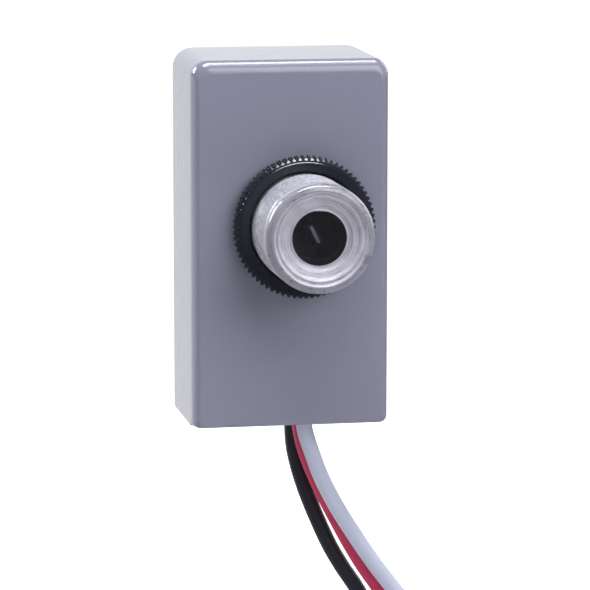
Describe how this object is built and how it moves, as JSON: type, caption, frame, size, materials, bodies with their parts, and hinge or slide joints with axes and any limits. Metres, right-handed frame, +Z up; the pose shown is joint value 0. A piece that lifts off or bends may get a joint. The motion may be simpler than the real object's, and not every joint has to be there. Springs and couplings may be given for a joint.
{
  "type": "photocell switch",
  "caption": "Moulded box with a clear threaded stem that holds a light sensor, a knurled lock nut and insulated leads, for switching lights at dusk.",
  "frame": {"origin": "on the stem's axis, in the plane of the housing's front face, where the panel or box wall is clamped", "axes": "-Y along the stem towards its tip, +Z up, +X to the right as one faces the stem"},
  "size_m": [0.0556, 0.0425, 0.2104],
  "materials": {
    "housing_plastic": "fine satin, moulded",
    "plate_plastic": "matt, moulded",
    "clear_plastic": "clear, polished at the tip",
    "nut_plastic": "black, satin",
    "shroud_plastic": "black, matt",
    "sensor_resin": "cast resin",
    "board_laminate": "solder mask",
    "relay_case": "moulded",
    "film_case": "moulded",
    "black_epoxy": "moulded epoxy",
    "can_sleeve": "shrunk sleeve",
    "varistor_coat": "dipped epoxy",
    "resistor_coat": "lacquered",
    "diode_coat": "lacquered",
    "white_pvc": "extruded",
    "red_pvc": "extruded",
    "black_pvc": "extruded",
    "tinned_copper": "tinned strands"
  },
  "bodies": {
    "root": {"housing": "housing_plastic", "bottom_plate": "plate_plastic", "lens_stem": "clear_plastic", "lock_nut": "nut_plastic", "sensor_shroud": "shroud_plastic", "light_sensor": "sensor_resin", "circuit_board": "board_laminate", "relay": "relay_case", "film_capacitor": "film_case", "surge_varistor": "varistor_coat", "smoothing_capacitor": "can_sleeve", "delay_capacitor": "can_sleeve", "bridge_rectifier": "black_epoxy", "switching_transistor": "black_epoxy", "zener_diode": "diode_coat", "flyback_diode": "black_epoxy", "surge_resistor": "resistor_coat", "gain_resistor": "resistor_coat", "hysteresis_resistor": "resistor_coat", "bleed_resistor": "resistor_coat", "white_lead_joint": "tinned_copper", "red_lead_joint": "tinned_copper", "black_lead_joint": "tinned_copper", "white_lead": "white_pvc", "red_lead": "red_pvc", "black_lead": "black_pvc", "white_lead_tip": "tinned_copper", "red_lead_tip": "tinned_copper", "black_lead_tip": "tinned_copper"}
  },
  "joints": []
}
